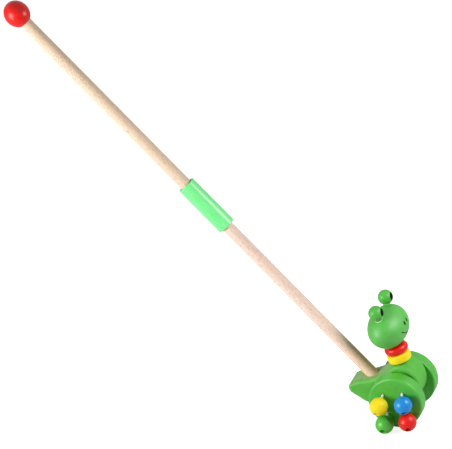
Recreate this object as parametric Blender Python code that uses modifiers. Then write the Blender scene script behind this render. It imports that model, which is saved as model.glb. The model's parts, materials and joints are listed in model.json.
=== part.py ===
"""Toddler push toy: a wooden frog on two wheels, pushed along by a two-piece stick.

The frog's body is a thick board sawn to shape and rounded over. A dowel axle turns in it and
carries one wheel on each end, so both wheels turn together. Every wheel has four cords knotted
through it, and each cord holds a loose bead that clacks on the wheel face as the toy rolls.
Two rings and an egg-shaped head with ball eyes sit on a leaning neck peg.

Metres, +X forward, +Y to the frog's left, +Z up. The wheels stand on Z = 0 and the origin is
under the middle of the whole toy's bounding box.
"""
import math

import bmesh
import bpy
from mathutils import Matrix, Vector
from mathutils.geometry import interpolate_bezier

# Fits
GAP = 0.0003
OVERRUN = 0.004
MERGE = 0.00001
FLAT_ANGLE = math.radians(0.1)

# Stick and sleeve
STICK_DIAMETER = 0.012
STICK_END_CHAMFER = 0.0008
STICK_LEAN = math.radians(46.6)
STICK_FOOT_BACK = 0.0314
STICK_SOCKET_DEPTH = 0.020
STICK_VISIBLE_LENGTH = 0.4853
SLEEVE_LENGTH = 0.0570
SLEEVE_DIAMETER = 0.0184
SLEEVE_EDGE_ROUNDING = 0.0007
SLEEVE_WEB = 0.002
SLEEVE_CENTRE_UP = 0.2330

# Knob
KNOB_DIAMETER = 0.0247
KNOB_LENGTH = 0.0276
KNOB_BORE_DEPTH = 0.015

# Body board
BODY_THICKNESS = 0.028
BODY_EDGE_ROUNDING = 0.0035
TAIL_REACH = 0.0522
CHEST_REACH = 0.0201
CHEST_HEIGHT = 0.0099
CREST_HEIGHT = 0.0326
CREST_SET_FORWARD = 0.0004
BELLY_DROP = 0.0153
BELLY_SET_BACK = 0.008
HANDLE_SHARE = 0.39

# Wheels and axle
WHEEL_DIAMETER = 0.0546
WHEEL_THICKNESS = 0.0137
WHEEL_OUTER_ROUNDING = 0.0024
WHEEL_INNER_ROUNDING = 0.0014
WHEEL_SIDE_PLAY = 0.00125
AXLE_DIAMETER = 0.008
AXLE_SOCKET_DEPTH = 0.009

# Beads and cords
BEAD_DIAMETER = 0.018
BEAD_KNOT_BORE_DEPTH = 0.007
CORD_DIAMETER = 0.0024
CORD_BEND_RADIUS = 0.0022
CORD_STAND_OFF = 0.0012
CORD_TAIL = 0.0012
KNOT_DIAMETER = 0.0044
KNOT_LENGTH = 0.0050
KNOT_BORE_DEPTH = 0.0062
HOLE_CIRCLE_DIAMETER = 0.0286

# Neck
NECK_LEAN = math.radians(19.5)
NECK_FOOT_BACK = 0.0031
NECK_PEG_DIAMETER = 0.008
NECK_PEG_IN_BODY = 0.014
NECK_PEG_IN_HEAD = 0.014
YELLOW_RING_DIAMETER = 0.0232
YELLOW_RING_THICKNESS = 0.0087
YELLOW_RING_ROUNDING = 0.0020
RED_RING_DIAMETER = 0.0238
RED_RING_THICKNESS = 0.0087
RED_RING_ROUNDING = 0.0041

# Head and eyes
HEAD_DIAMETER = 0.0394
HEAD_WIDTH = 0.0558
EYE_DIAMETER = 0.0149
EYE_SEAT_SHARE = 0.48
EYE_SEAT_DEPTH = 0.0006
EYE_SEAT_DIAMETER = 0.0170
EYE_PEG_DIAMETER = 0.004
EYE_PEG_IN_HEAD = 0.007
EYE_PEG_IN_EYE = 0.007

# Facets
WHEEL_STEPS = 48
HEAD_STEPS = 32
ROUND_STEPS = 28
EYE_STEPS = 20
BEAD_STEPS = 18
PEG_STEPS = 12
BEND_STEPS = 4

# How each wheel's beads hang: the hole's angle on the wheel, the swing forward from hanging
# straight down, the angle it stands off beyond lying on the wheel face, and the cord from
# its bend to the bead's middle as a share of the bead's diameter. The green ones rest on the
# floor, so they stand off most.
RIGHT_BEAD_SHARES = {
    "blue": (60, 29, 0, 0.633),
    "yellow": (150, -7, 6, 0.639),
    "red": (330, 33, 7, 0.617),
    "green": (240, 5, 23, 0.694),
}
LEFT_BEAD_SHARES = {
    "blue": (126, -4, 0, 0.633),
    "yellow": (36, 6, 0, 0.639),
    "red": (216, -2, 0, 0.617),
    "green": (306, -5, 21.5, 0.71),
}
SETTLE_ROUNDS = 400

# A knot's shape: place along it as a share of its length, and how much of its swelling.
KNOT_SHARES = [(-0.50, 0.10), (-0.28, 0.88), (0, 1), (0.28, 0.88), (0.50, 0.10)]

# The tail and saddle of the body outline: back as a share of the tail's reach, up as a share
# of the crest's height, and the heading in degrees on the way round.
TAIL_OUTLINE_SHARES = [
    (0.766, -0.326, 150),
    (1.000, -0.006, 90),
    (0.870, 0.210, 32),
    (0.632, 0.349, 22),
    (0.326, 0.648, 41),
]

GREEN_PAINT = (0.115, 0.420, 0.078)
RED_PAINT = (0.730, 0.012, 0.008)
YELLOW_PAINT = (0.900, 0.640, 0.020)
BLUE_PAINT = (0.012, 0.200, 0.640)
BEECH = (0.760, 0.560, 0.370)
PALE_WOOD = (0.720, 0.570, 0.400)
SLEEVE_GREEN = (0.160, 0.870, 0.270)
CORD_WHITE = (0.850, 0.860, 0.800)
PAINTS = {"blue": BLUE_PAINT, "yellow": YELLOW_PAINT, "red": RED_PAINT, "green": GREEN_PAINT}

# Worked out from the sizes above
stick_radius = STICK_DIAMETER / 2
wheel_radius = WHEEL_DIAMETER / 2
bead_radius = BEAD_DIAMETER / 2
cord_radius = CORD_DIAMETER / 2
head_radius = HEAD_DIAMETER / 2
eye_radius = EYE_DIAMETER / 2
wheel_inner_face = BODY_THICKNESS / 2 + WHEEL_SIDE_PLAY
wheel_outer_face = wheel_inner_face + WHEEL_THICKNESS
stick_way = Vector((-math.sin(STICK_LEAN), 0, math.cos(STICK_LEAN)))
neck_way = Vector((-math.sin(NECK_LEAN), 0, math.cos(NECK_LEAN)))
head_turn = Matrix.Rotation(-NECK_LEAN, 4, "Y")


def clear_scene():
    """Remove every object, so that the script can be run again in an open file."""
    for old in list(bpy.data.objects):
        bpy.data.objects.remove(old, do_unlink=True)


def new_collection(name):
    """Make a collection under the scene's own."""
    made = bpy.data.collections.new(name)
    bpy.context.scene.collection.children.link(made)
    return made


clear_scene()
toy = new_collection("toddler_push_toy")
cutters = new_collection("cutters")


def material(name, colour, roughness):
    """Make a painted, wooden or plastic finish."""
    made = bpy.data.materials.new(name)
    made.use_nodes = True
    shader = made.node_tree.nodes["Principled BSDF"]
    shader.inputs["Base Color"].default_value = (*colour, 1)
    shader.inputs["Roughness"].default_value = roughness
    shader.inputs["Metallic"].default_value = 0
    made.diffuse_color = (*colour, 1)
    return made


def add_object(name, data, finish, place=None):
    """Put mesh or curve data in the toy's collection with its own material."""
    made = bpy.data.objects.new(name, data)
    toy.objects.link(made)
    if finish is not None:
        data.materials.append(finish)
    if place is not None:
        made.matrix_world = place
    return made


def add_empty(name, place, parent=None):
    """Mark a joint's axis, or a frame that pieces hang on."""
    made = bpy.data.objects.new(name, None)
    made.empty_display_size = bead_radius
    toy.objects.link(made)
    hang(made, parent, place)
    return made


def hang(piece, parent, place):
    """Parent a piece and keep it where place says in the world."""
    if parent is not None:
        piece.parent = parent
        piece.matrix_parent_inverse = world_place(parent).inverted()
    piece.matrix_basis = place
    piece["place"] = [value for row in place for value in row]


def world_place(piece):
    """Give the world matrix that hang stored on a piece."""
    return Matrix([piece["place"][start:start + 4] for start in range(0, 16, 4)])


def along(point, way):
    """Give a frame at a point with its Z along a direction."""
    turn = Vector((0, 0, 1)).rotation_difference(way)
    return Matrix.Translation(point) @ turn.to_matrix().to_4x4()


def arc(centre, radius, start, end, count):
    """Give the points of an arc in a profile; 90 degrees is up and 0 is outward."""
    turns = [math.radians(start + (end - start) * step / count) for step in range(count + 1)]
    return [(centre[0] + radius * math.cos(t), centre[1] + radius * math.sin(t)) for t in turns]


def oval(half_width, half_height, start, end, count):
    """Give the points of an elliptical profile round the origin."""
    turns = [math.radians(start + (end - start) * step / count) for step in range(count + 1)]
    return [(half_width * math.cos(t), half_height * math.sin(t)) for t in turns]


def turned_mesh(name, profile, closed=False):
    """Make the edge chain of a turned shape, listed down its outer side."""
    count = len(profile)
    edges = [(step, step + 1) for step in range(count - 1)]
    if closed:
        edges.append((count - 1, 0))
    mesh = bpy.data.meshes.new(name)
    mesh.from_pydata([(radius, 0, height) for radius, height in profile], edges, [])
    return mesh


def turn(piece, steps):
    """Spin a piece's profile about its own Z."""
    screw = piece.modifiers.new("turned", "SCREW")
    screw.axis = "Z"
    screw.angle = math.tau
    screw.steps = steps
    screw.render_steps = steps
    screw.use_merge_vertices = True
    screw.merge_threshold = MERGE
    screw.use_smooth_shade = True


def turned(name, profile, steps, finish, parent, place, closed=False):
    """Add a turned piece of the toy."""
    made = add_object(name, turned_mesh(name, profile, closed), finish)
    hang(made, parent, place)
    turn(made, steps)
    return made


def dowel_profile(radius, low, high, chamfer):
    """Give a round bar's profile with chamfered ends."""
    return [
        (0, high),
        (radius - chamfer, high),
        (radius, high - chamfer),
        (radius, low + chamfer),
        (radius - chamfer, low),
        (0, low),
    ]


def ring_profile(radius, bore, thickness, rounding, count):
    """Give a flat ring's profile with rounded outer edges."""
    top = thickness / 2
    inner = radius - rounding
    upper = arc((inner, top - rounding), rounding, 90, 0, count)
    lower = arc((inner, rounding - top), rounding, 0, -90, count)
    return [(bore, top)] + upper + lower + [(bore, -top)]


def add_cutter(name, mesh, place):
    """Add a cutter, drawn as wire and left out of renders."""
    made = bpy.data.objects.new(name, mesh)
    cutters.objects.link(made)
    made.matrix_world = place
    made.hide_render = True
    made.display_type = "WIRE"
    return made


def turned_cutter(name, profile, steps, place):
    """Add a cutter spun from a profile."""
    made = add_cutter(name, turned_mesh(name, profile), place)
    turn(made, steps)
    return made


def bar_cutter(name, radius, low, high, steps, place):
    """Add a plain round cutter between two heights on its own Z."""
    shape = bmesh.new()
    bmesh.ops.create_cone(shape, cap_ends=True, segments=steps, radius1=radius, radius2=radius,
                          depth=high - low, matrix=Matrix.Translation((0, 0, (low + high) / 2)))
    mesh = bpy.data.meshes.new(name)
    shape.to_mesh(mesh)
    shape.free()
    return add_cutter(name, mesh, place)


def cut(piece, tool):
    """Cut a tool out of a piece."""
    boolean = piece.modifiers.new("cut " + tool.name, "BOOLEAN")
    boolean.operation = "DIFFERENCE"
    boolean.solver = "EXACT"
    boolean.object = tool


# Body outline, seen from the right side, in metres from the axle
def knot_point(knot):
    """Give a knot's place in the outline's plane."""
    return Vector((knot[0], knot[1]))


def knot_heading(knot):
    """Give the direction in which the outline passes a knot."""
    return Vector((math.cos(math.radians(knot[2])), math.sin(math.radians(knot[2]))))


tail_knots = [
    (-back * TAIL_REACH, up * CREST_HEIGHT, heading)
    for back, up, heading in TAIL_OUTLINE_SHARES
]
outline_knots = [
    (CREST_SET_FORWARD, CREST_HEIGHT, 0),
    (CHEST_REACH, CHEST_HEIGHT, -90),
    (-BELLY_SET_BACK, -BELLY_DROP, 180),
] + tail_knots


def outline_points(steps):
    """Follow the outline's curved stretches and give its points in order."""
    points = []
    for index, knot in enumerate(outline_knots):
        after = outline_knots[(index + 1) % len(outline_knots)]
        start = knot_point(knot)
        end = knot_point(after)
        pull = (end - start).length * HANDLE_SHARE
        leave = start + knot_heading(knot) * pull
        arrive = end - knot_heading(after) * pull
        points += interpolate_bezier(start, leave, arrive, end, steps + 1)[:-1]
    return points


OUTLINE_STEPS = 6
outline = outline_points(OUTLINE_STEPS)


def top_of_body(forward):
    """Give the height of the outline's upper side at a place along the toy."""
    best = -BELLY_DROP
    for index, first in enumerate(outline):
        second = outline[(index + 1) % len(outline)]
        low, high = sorted((first[0], second[0]))
        if low <= forward <= high and high > low:
            share = (forward - first[0]) / (second[0] - first[0])
            best = max(best, first[1] + (second[1] - first[1]) * share)
    return best


# Stick, sleeve and knob, all on one leaning line
stick_foot = Vector((-STICK_FOOT_BACK, 0, top_of_body(-STICK_FOOT_BACK)))
stick_bore = stick_radius + GAP
knob_radius = KNOB_DIAMETER / 2
knob_half = KNOB_LENGTH / 2
knob_mouth = knob_half * math.sqrt(1 - (stick_bore / knob_radius) ** 2)
knob_up = STICK_VISIBLE_LENGTH + knob_mouth
knob_back_reach = math.hypot(knob_half * math.sin(STICK_LEAN), knob_radius * math.cos(STICK_LEAN))
toy_back = -(stick_foot + stick_way * knob_up).x + knob_back_reach
toy_front = wheel_radius

# The frame on the axle's middle, from which everything is placed
axle_place = Matrix.Translation(Vector(((toy_back - toy_front) / 2, 0, wheel_radius)))
stick_place = axle_place @ along(stick_foot, stick_way)
sleeve_low = SLEEVE_CENTRE_UP - SLEEVE_WEB / 2 - GAP
sleeve_high = SLEEVE_CENTRE_UP + SLEEVE_WEB / 2 + GAP
knob_bore_end = STICK_VISIBLE_LENGTH + KNOB_BORE_DEPTH

toy_frame = add_empty("toy_frame", axle_place)


def split_sides(board):
    """Make each flat side of the board whole, then part its tail from what the wheels cover."""
    bmesh.ops.dissolve_limit(board, angle_limit=FLAT_ANGLE, verts=board.verts, edges=board.edges)
    bmesh.ops.bisect_plane(board, geom=board.verts[:] + board.edges[:] + board.faces[:],
                           dist=MERGE, plane_co=Vector((-wheel_radius - GAP, 0, 0)),
                           plane_no=Vector((1, 0, 0)))


def build_body():
    """Saw the board to its outline, round it over and bore it for axle, stick and neck peg."""
    data = bpy.data.curves.new("body_outline", "CURVE")
    data.dimensions = "2D"
    data.fill_mode = "BOTH"
    data.extrude = BODY_THICKNESS / 2 - BODY_EDGE_ROUNDING
    data.bevel_depth = BODY_EDGE_ROUNDING
    data.bevel_resolution = 1
    data.offset = -BODY_EDGE_ROUNDING
    spline = data.splines.new("POLY")
    spline.points.add(len(outline) - 1)
    spline.use_cyclic_u = True
    for point, place in zip(spline.points, outline):
        point.co = (place[0], place[1], 0, 1)
    shape = bpy.data.objects.new("body_outline", data)
    cutters.objects.link(shape)
    depsgraph = bpy.context.evaluated_depsgraph_get()
    mesh = bpy.data.meshes.new_from_object(shape.evaluated_get(depsgraph))
    bpy.data.objects.remove(shape)
    mesh.name = "body"
    welded = bmesh.new()
    welded.from_mesh(mesh)
    bmesh.ops.remove_doubles(welded, verts=welded.verts, dist=MERGE)
    bmesh.ops.recalc_face_normals(welded, faces=welded.faces)
    split_sides(welded)
    welded.to_mesh(mesh)
    welded.free()
    mesh.materials.clear()
    body = add_object("body", mesh, material("body_green", GREEN_PAINT, 0.35))
    hang(body, toy_frame, axle_place @ Matrix.Rotation(math.pi / 2, 4, "X"))
    across = axle_place @ along(Vector((0, 0, 0)), Vector((0, 1, 0)))
    reach = BODY_THICKNESS / 2 + OVERRUN
    bore = AXLE_DIAMETER / 2 + GAP
    cut(body, bar_cutter("axle_bore", bore, -reach, reach, ROUND_STEPS, across))
    cut(body, bar_cutter("stick_socket", stick_bore, -STICK_SOCKET_DEPTH,
                         STICK_SOCKET_DEPTH, ROUND_STEPS, stick_place))
    peg_bore = NECK_PEG_DIAMETER / 2 + GAP
    cut(body, bar_cutter("neck_bore", peg_bore, -NECK_PEG_IN_BODY,
                         NECK_PEG_IN_BODY, ROUND_STEPS, neck_place))
    body.data.shade_smooth()
    body.data.set_sharp_from_angle(angle=math.radians(40))


def build_stick():
    """Make both dowels, the plastic sleeve that joins them and the knob on top."""
    lower = dowel_profile(stick_radius, GAP - STICK_SOCKET_DEPTH, sleeve_low, STICK_END_CHAMFER)
    upper = dowel_profile(stick_radius, sleeve_high, knob_bore_end - GAP, STICK_END_CHAMFER)
    turned("lower_stick", lower, ROUND_STEPS, material("lower_stick_beech", BEECH, 0.55),
           toy_frame, stick_place)
    turned("upper_stick", upper, ROUND_STEPS, material("upper_stick_beech", BEECH, 0.55),
           toy_frame, stick_place)
    build_sleeve()
    build_knob()


def build_sleeve():
    """Mould the sleeve: a tube with a web across its middle that both dowels stop at."""
    radius = SLEEVE_DIAMETER / 2
    half = SLEEVE_LENGTH / 2
    edge = SLEEVE_EDGE_ROUNDING
    web = SLEEVE_WEB / 2
    profile = [(0, web), (stick_bore, web), (stick_bore, half)]
    profile += arc((radius - edge, half - edge), edge, 90, 0, 3)
    profile += arc((radius - edge, edge - half), edge, 0, -90, 3)
    profile += [(stick_bore, -half), (stick_bore, -web), (0, -web)]
    place = stick_place @ Matrix.Translation((0, 0, SLEEVE_CENTRE_UP))
    turned("stick_sleeve", profile, ROUND_STEPS, material("sleeve_plastic", SLEEVE_GREEN, 0.25),
           toy_frame, place)


def build_knob():
    """Turn the egg-shaped knob with its blind bore for the upper dowel."""
    mouth = -math.degrees(math.asin(knob_mouth / knob_half))
    profile = oval(knob_radius, knob_half, 90, mouth, 12)
    bore_end = KNOB_BORE_DEPTH - knob_mouth
    profile += [(stick_bore, bore_end), (0, bore_end)]
    place = stick_place @ Matrix.Translation((0, 0, knob_up))
    turned("knob", profile, ROUND_STEPS, material("knob_red", RED_PAINT, 0.18), toy_frame, place)


# Neck line: the rings bed on the highest line of the body under the leaning neck
def highest_along(way):
    """Give how far the outline reaches in a direction."""
    return max(point[0] * way.x + point[1] * way.z for point in outline)


neck_seat = highest_along(neck_way)
neck_foot_up = (neck_seat + NECK_FOOT_BACK * neck_way.x) / neck_way.z
neck_place = axle_place @ along(Vector((-NECK_FOOT_BACK, 0, neck_foot_up)), neck_way)
yellow_up = GAP + YELLOW_RING_THICKNESS / 2
red_up = yellow_up + YELLOW_RING_THICKNESS / 2 + GAP + RED_RING_THICKNESS / 2
head_up = red_up + RED_RING_THICKNESS / 2 + GAP + head_radius
neck_peg_top = head_up - head_radius + NECK_PEG_IN_HEAD
head_place = neck_place @ Matrix.Translation((0, 0, head_up))


def build_neck():
    """Make the neck peg and the two loose rings threaded on it."""
    peg = dowel_profile(NECK_PEG_DIAMETER / 2, GAP - NECK_PEG_IN_BODY, neck_peg_top - GAP,
                        STICK_END_CHAMFER)
    turned("neck_peg", peg, PEG_STEPS, material("neck_peg_beech", PALE_WOOD, 0.6),
           toy_frame, neck_place)
    bore = NECK_PEG_DIAMETER / 2 + GAP
    yellow = ring_profile(YELLOW_RING_DIAMETER / 2, bore, YELLOW_RING_THICKNESS,
                          YELLOW_RING_ROUNDING, 2)
    red = ring_profile(RED_RING_DIAMETER / 2, bore, RED_RING_THICKNESS, RED_RING_ROUNDING, 4)
    turned("yellow_neck_ring", yellow, ROUND_STEPS, material("ring_yellow", YELLOW_PAINT, 0.3),
           toy_frame, neck_place @ Matrix.Translation((0, 0, yellow_up)), closed=True)
    turned("red_neck_ring", red, ROUND_STEPS, material("ring_red", RED_PAINT, 0.18),
           toy_frame, neck_place @ Matrix.Translation((0, 0, red_up)), closed=True)


# Eyes sit on flat seats milled into the top of the head, one each side
eye_seat_out = EYE_SEAT_SHARE * HEAD_WIDTH / 2
seat_rise = head_radius * math.sqrt(1 - EYE_SEAT_SHARE ** 2)


def eye_seat_place(side):
    """Give the frame on the head's skin where one eye sits, with Z out of the head."""
    out = eye_seat_out / (HEAD_WIDTH / 2) ** 2
    up = seat_rise / head_radius ** 2
    way = Vector((0, side * out, up)).normalized()
    return head_place @ along(Vector((0, side * eye_seat_out, seat_rise)), way)


def build_head():
    """Turn the head about its long cross axis, then mill the eye seats and bore it."""
    profile = oval(head_radius, HEAD_WIDTH / 2, 90, -90, 18)
    lying = head_place @ along(Vector((0, 0, 0)), Vector((0, 1, 0)))
    head = turned("head", profile, HEAD_STEPS, material("head_green", GREEN_PAINT, 0.35),
                  toy_frame, lying)
    peg_bore = NECK_PEG_DIAMETER / 2 + GAP
    cut(head, bar_cutter("head_bore", peg_bore, -head_radius, neck_peg_top,
                         PEG_STEPS, neck_place))
    for side, label in ((-1, "right"), (1, "left")):
        seat = eye_seat_place(side)
        cut(head, bar_cutter(label + "_eye_seat", EYE_SEAT_DIAMETER / 2, -EYE_SEAT_DEPTH,
                             eye_radius, ROUND_STEPS, seat))
        cut(head, bar_cutter(label + "_eye_peg_hole", EYE_PEG_DIAMETER / 2 + GAP,
                             -EYE_SEAT_DEPTH - EYE_PEG_IN_HEAD, eye_radius, PEG_STEPS, seat))


def build_eye(side, label):
    """Turn one ball eye with its peg hole, and the peg that holds it on its seat."""
    seat = eye_seat_place(side)
    hole = EYE_PEG_DIAMETER / 2 + GAP
    mouth = math.sqrt(eye_radius ** 2 - hole ** 2)
    mouth_angle = -math.degrees(math.asin(mouth / eye_radius))
    profile = arc((0, 0), eye_radius, 90, mouth_angle, 10)
    profile += [(hole, EYE_PEG_IN_EYE - mouth), (0, EYE_PEG_IN_EYE - mouth)]
    eye_up = eye_radius + GAP - EYE_SEAT_DEPTH
    turned(label + "_eye", profile, EYE_STEPS, material(label + "_eye_green", GREEN_PAINT, 0.3),
           toy_frame, seat @ Matrix.Translation((0, 0, eye_up)))
    low = GAP - EYE_SEAT_DEPTH - EYE_PEG_IN_HEAD
    high = eye_up - mouth + EYE_PEG_IN_EYE - GAP
    peg = dowel_profile(EYE_PEG_DIAMETER / 2, low, high, STICK_END_CHAMFER / 2)
    turned(label + "_eye_peg", peg, PEG_STEPS, material(label + "_peg_beech", PALE_WOOD, 0.6),
           toy_frame, seat)


# Wheelset: the axle and both wheels turn as one
wheelset = add_empty("wheelset_axis", axle_place, toy_frame)
knot_bore = KNOT_DIAMETER / 2 + GAP * 2
cord_bore = cord_radius + GAP


def side_place(side):
    """Give the axle frame turned so that Z points outboard on one side."""
    return axle_place @ Matrix.Rotation(-side * math.pi / 2, 4, "X")


def hang_bead(side, hole, swing, extra, cord_share):
    """Give one bead's hole, pivot, cord reach and swing, before it is laid on the wheel."""
    angle = math.radians(hole)
    reach = HOLE_CIRCLE_DIAMETER / 2
    centre = Vector((reach * math.cos(angle), 0, reach * math.sin(angle)))
    swung = math.radians(swing)
    return {
        "hole": centre,
        "pivot": centre + Vector((0, side * (wheel_outer_face + CORD_STAND_OFF), 0)),
        "down": Vector((math.sin(swung), 0, -math.cos(swung))),
        "out": Vector((0, side, 0)),
        "reach": cord_share * BEAD_DIAMETER,
        "extra": math.radians(extra),
    }


def bead_way(bead, stand):
    """Give the direction from a cord's bend to its bead, standing off the wheel by an angle."""
    return bead["down"] * math.cos(stand) + bead["out"] * math.sin(stand)


def move_bead(bead, centre):
    """Bring a bead as near to a place as its cord lets it."""
    bead["way"] = (centre - bead["pivot"]).normalized()
    bead["centre"] = bead["pivot"] + bead["way"] * bead["reach"]


def push_bead(bead, others):
    """Push a bead off the wheel face, the floor and the other beads, and say if it had to move."""
    centre = bead["centre"].copy()
    sunk = bead_radius + GAP - CORD_STAND_OFF - (centre - bead["pivot"]).dot(bead["out"])
    centre += bead["out"] * max(sunk, 0)
    centre.z = max(centre.z, bead_radius + GAP - wheel_radius)
    for other in others:
        away = centre - other["centre"]
        centre += away.normalized() * max(BEAD_DIAMETER + GAP - away.length, 0)
    moved = (centre - bead["centre"]).length > MERGE
    if moved:
        move_bead(bead, centre)
    return moved


def settle_beads(side, table):
    """Lay each bead on the wheel face as it hangs, then push apart the beads that meet."""
    beads = {}
    for colour, shares in table.items():
        bead = hang_bead(side, *shares)
        touch = min((bead_radius + GAP - CORD_STAND_OFF) / bead["reach"], 1)
        hanging_way = bead_way(bead, math.asin(touch) + bead["extra"])
        move_bead(bead, bead["pivot"] + hanging_way * bead["reach"])
        beads[colour] = bead
    for _ in range(SETTLE_ROUNDS):
        pushed = [push_bead(bead, [other for other in beads.values() if other is not bead])
                  for bead in beads.values()]
        if not any(pushed):
            break
    return beads


def build_wheel(side, label, beads):
    """Turn one wheel with a blind axle socket, and bore it for its four knotted cords."""
    inner, outer = wheel_inner_face, wheel_outer_face
    socket = AXLE_DIAMETER / 2 + GAP
    face_edge = WHEEL_OUTER_ROUNDING
    back_edge = WHEEL_INNER_ROUNDING
    profile = [(0, outer)]
    profile += arc((wheel_radius - face_edge, outer - face_edge), face_edge, 90, 0, 3)
    profile += arc((wheel_radius - back_edge, inner + back_edge), back_edge, 0, -90, 2)
    profile += [(socket, inner), (socket, inner + AXLE_SOCKET_DEPTH)]
    profile += [(0, inner + AXLE_SOCKET_DEPTH)]
    wheel = turned(label + "_wheel", profile, WHEEL_STEPS,
                   material(label + "_wheel_green", GREEN_PAINT, 0.35), wheelset,
                   side_place(side))
    far = outer + OVERRUN
    near = inner - OVERRUN
    step = inner + KNOT_BORE_DEPTH
    stepped = [(0, far), (cord_bore, far), (cord_bore, step), (knot_bore, step)]
    stepped += [(knot_bore, near), (0, near)]
    for colour, bead in beads.items():
        outboard = axle_place @ along(bead["hole"], bead["out"])
        cut(wheel, turned_cutter(label + "_" + colour + "_hole", stepped, PEG_STEPS, outboard))


def build_axle():
    """Make the dowel that turns in the body and is glued in both wheels."""
    half = wheel_inner_face + AXLE_SOCKET_DEPTH - GAP
    profile = dowel_profile(AXLE_DIAMETER / 2, -half, half, STICK_END_CHAMFER)
    turned("axle", profile, ROUND_STEPS, material("axle_beech", PALE_WOOD, 0.6), wheelset,
           side_place(1))


def bead_profile():
    """Give the bead's profile: a ball with a cord bore that widens below for the knot."""
    top = math.degrees(math.acos(cord_bore / bead_radius))
    low = -math.degrees(math.acos(knot_bore / bead_radius))
    mouth = bead_radius * math.sin(math.radians(low))
    shoulder = mouth + BEAD_KNOT_BORE_DEPTH
    profile = arc((0, 0), bead_radius, top, low, 9)
    return profile + [(knot_bore, shoulder), (cord_bore, shoulder)], shoulder


def knot_bulge(centre, way):
    """Give the points and thicknesses of a knot, swelling out of the cord and back."""
    most = KNOT_DIAMETER / CORD_DIAMETER
    points = []
    for place_share, swell_share in KNOT_SHARES:
        swell = 1 + swell_share * (most - 1)
        points.append((centre + way * (place_share * KNOT_LENGTH), swell))
    return points


def cord_route(bead, shoulder):
    """Follow one cord from its knot in the wheel, out of the face and down into its bead."""
    out, way, pivot = bead["out"], bead["way"], bead["pivot"]
    seat = wheel_inner_face + KNOT_BORE_DEPTH - GAP - KNOT_LENGTH / 2
    inner_knot = bead["hole"] + out * seat
    outer_knot = bead["centre"] - way * (shoulder - GAP - KNOT_LENGTH / 2)
    route = [(inner_knot - out * (KNOT_LENGTH / 2 + CORD_TAIL / 2), 1)]
    route += knot_bulge(inner_knot, out)
    bend = out.angle(way)
    start = pivot - out * (CORD_BEND_RADIUS * math.tan(bend / 2))
    aside = (way - out * way.dot(out)).normalized()
    for step in range(BEND_STEPS + 1):
        angle = bend * step / BEND_STEPS
        ahead = out * (CORD_BEND_RADIUS * math.sin(angle))
        route.append((start + ahead + aside * (CORD_BEND_RADIUS * (1 - math.cos(angle))), 1))
    route += knot_bulge(outer_knot, way)
    route.append((outer_knot + way * (KNOT_LENGTH / 2 + CORD_TAIL), 1))
    return route


def build_cord(name, bead, shoulder):
    """Make one cord whole, with its origin where it leaves the wheel face."""
    route = cord_route(bead, shoulder)
    data = bpy.data.curves.new(name, "CURVE")
    data.dimensions = "3D"
    data.bevel_depth = cord_radius
    data.bevel_resolution = 2
    data.use_fill_caps = True
    spline = data.splines.new("POLY")
    spline.points.add(len(route) - 1)
    mouth = bead["hole"] + bead["out"] * wheel_outer_face
    for point, (place, thickness) in zip(spline.points, route):
        point.co = (*(place - mouth), 1)
        point.radius = thickness
    cord = add_object(name, data, material(name + "_white", CORD_WHITE, 0.8))
    hang(cord, wheelset, axle_place @ Matrix.Translation(mouth))
    return cord


def build_beads(label, beads):
    """Hang one wheel's four beads on their cords."""
    profile, shoulder = bead_profile()
    for colour, bead in beads.items():
        name = label + "_" + colour
        cord = build_cord(name + "_cord", bead, shoulder)
        pivot = axle_place @ Matrix.Translation(bead["pivot"])
        lift = add_empty(name + "_lift_axis", pivot, cord)
        place = axle_place @ along(bead["centre"], -bead["way"])
        turned(name + "_bead", profile, BEAD_STEPS, material(name + "_paint", PAINTS[colour], 0.2),
               lift, place, closed=True)


build_body()
build_stick()
build_neck()
build_head()
build_axle()
for toy_side, side_label, hanging in ((-1, "right", RIGHT_BEAD_SHARES),
                                      (1, "left", LEFT_BEAD_SHARES)):
    settled = settle_beads(toy_side, hanging)
    build_eye(toy_side, side_label)
    build_wheel(toy_side, side_label, settled)
    build_beads(side_label, settled)
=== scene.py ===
"""Dress the toddler push toy: a painted wooden frog on two wheels with a jointed beech stick.

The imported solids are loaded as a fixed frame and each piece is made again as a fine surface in
the same place. Metres, +X the way the toy is pushed, +Y to the frog's left, +Z up.
"""
import json
import math

import bmesh
import bpy
import numpy as np
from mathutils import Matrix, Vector


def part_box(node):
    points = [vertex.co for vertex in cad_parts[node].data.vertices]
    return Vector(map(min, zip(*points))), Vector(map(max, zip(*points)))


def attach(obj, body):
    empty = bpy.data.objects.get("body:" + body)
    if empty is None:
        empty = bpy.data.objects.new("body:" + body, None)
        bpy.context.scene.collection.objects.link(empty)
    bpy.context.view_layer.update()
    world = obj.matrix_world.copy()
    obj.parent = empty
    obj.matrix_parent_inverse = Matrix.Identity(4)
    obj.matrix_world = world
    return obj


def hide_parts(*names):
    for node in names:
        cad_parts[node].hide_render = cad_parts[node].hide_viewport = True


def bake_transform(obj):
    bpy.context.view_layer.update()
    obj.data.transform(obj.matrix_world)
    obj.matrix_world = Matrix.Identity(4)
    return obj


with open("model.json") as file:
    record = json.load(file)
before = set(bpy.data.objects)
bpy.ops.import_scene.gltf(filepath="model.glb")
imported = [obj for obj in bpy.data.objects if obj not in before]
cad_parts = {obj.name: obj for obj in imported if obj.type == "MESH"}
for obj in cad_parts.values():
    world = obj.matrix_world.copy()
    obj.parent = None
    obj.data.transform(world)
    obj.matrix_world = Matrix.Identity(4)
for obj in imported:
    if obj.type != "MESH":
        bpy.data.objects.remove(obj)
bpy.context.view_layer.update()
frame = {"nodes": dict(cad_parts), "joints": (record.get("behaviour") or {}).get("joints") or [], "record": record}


# Body: a thick beech board sawn to the frog's outline and rounded over along both sides. It
# carries everything else. Its holes and its paint come further down, once the lines of the stick
# and the neck are known.
TAIL_REACH = 0.0522
CHEST_REACH = 0.0201
CHEST_HEIGHT = 0.0099
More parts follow.
